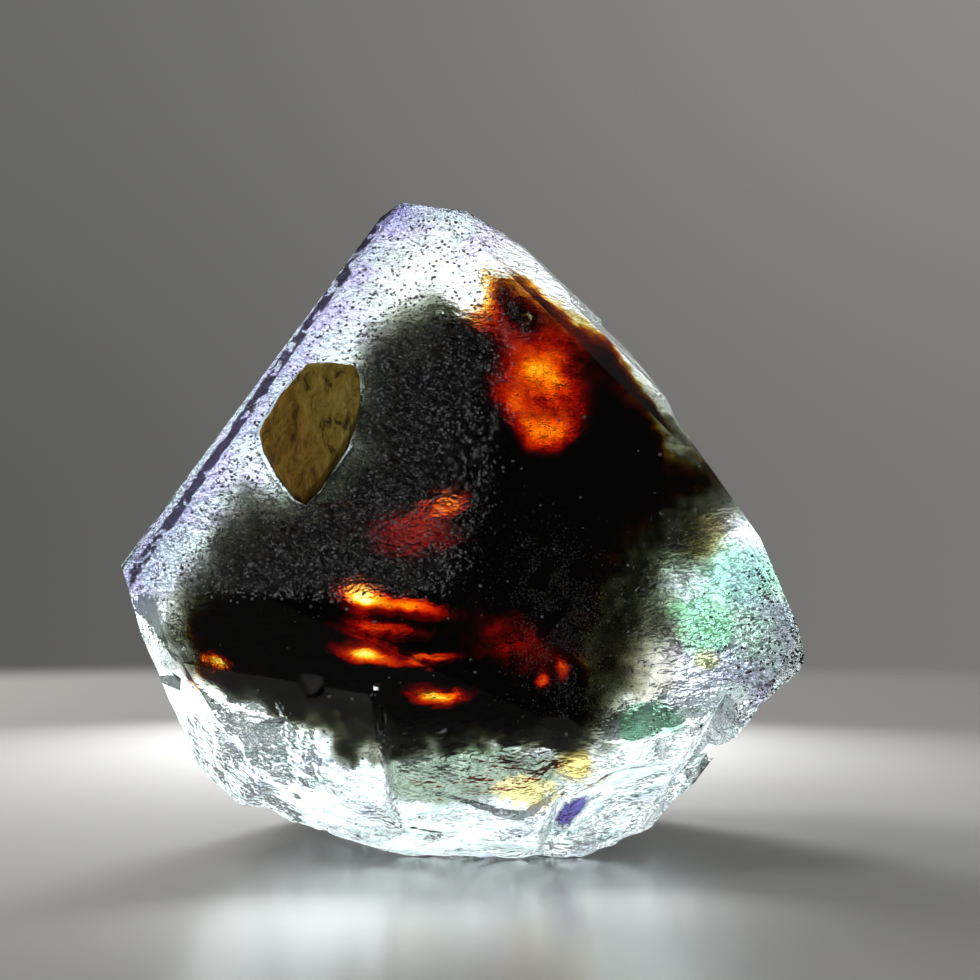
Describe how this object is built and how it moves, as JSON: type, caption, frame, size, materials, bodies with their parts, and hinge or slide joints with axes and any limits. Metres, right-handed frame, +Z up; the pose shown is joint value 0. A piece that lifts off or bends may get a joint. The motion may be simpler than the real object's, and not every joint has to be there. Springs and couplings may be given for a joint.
{
  "type": "fluorite crystal",
  "caption": "Clear octahedral fluorite crystal with a dark red and amber colour zone, standing on its broken lower end, with a tan grain of matrix on its front face.",
  "frame": {"origin": "on the ground under the middle of the crystal's bounding box", "axes": "+X to the right of the front face and along the longest extent, +Y from the front face to the back, +Z up; the front face leans back and looks toward -Y"},
  "size_m": [0.0406, 0.037, 0.0392],
  "materials": {
    "fluorite": "clear, part frosted by fine natural surface texture",
    "matrix": "matt, rough"
  },
  "bodies": {
    "root": {"fluorite_crystal": "fluorite", "matrix_grain": "matrix"}
  },
  "joints": []
}
